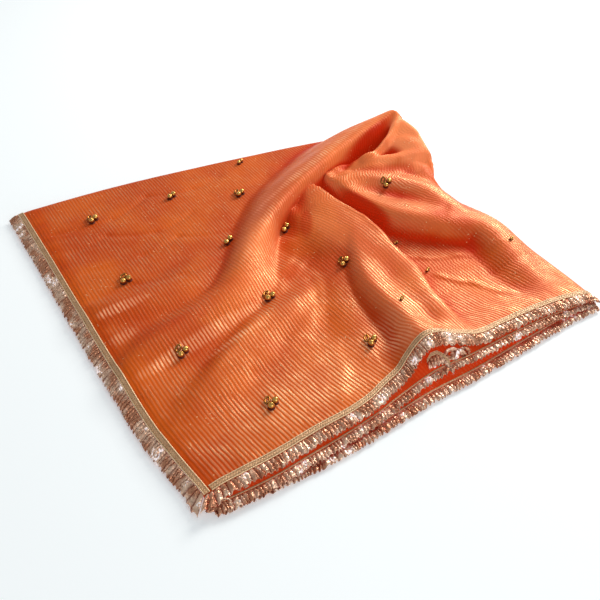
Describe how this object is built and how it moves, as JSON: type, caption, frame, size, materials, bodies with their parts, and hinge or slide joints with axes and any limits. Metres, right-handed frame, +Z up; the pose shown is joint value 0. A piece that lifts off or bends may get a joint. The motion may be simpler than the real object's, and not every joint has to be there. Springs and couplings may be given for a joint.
{
  "type": "folded sari",
  "caption": "Folded and laid tissue silk sari with a pushed-up long roll, braided margins, gathered metallic ruffles and sewn bell clusters.",
  "frame": {"origin": "middle of the folded sari's footprint, on the surface it lies on", "axes": "+X along the three long trimmed margins, away from the trimmed end; +Y from those margins to the back fold; +Z up off the surface"},
  "size_m": [0.592, 0.5692, 0.0813],
  "materials": {
    "cloth": "orange tissue silk with woven metallic ribs, silky sheen",
    "braid": "woven golden-beige metallic braid tape",
    "ruffle": "gathered rose-gold metallic tissue, crisp and glinting",
    "bells": "antique gold, worn bright on the crowns"
  },
  "bodies": {
    "root": {"upper_cloth": "cloth", "middle_cloth": "cloth", "lower_cloth": "cloth", "hidden_layers": "cloth", "end_braid": "braid", "upper_braid": "braid", "middle_braid": "braid", "lower_braid": "braid", "end_ruffle": "ruffle", "upper_ruffle": "ruffle", "middle_ruffle": "ruffle", "lower_ruffle": "ruffle", "bells_01": "bells", "bells_02": "bells", "bells_03": "bells", "bells_04": "bells", "bells_05": "bells", "bells_06": "bells", "bells_07": "bells", "bells_08": "bells", "bells_09": "bells", "bells_10": "bells", "bells_11": "bells", "bells_12": "bells", "bells_13": "bells", "bells_14": "bells", "bells_15": "bells", "bells_16": "bells", "bells_17": "bells"}
  },
  "joints": []
}
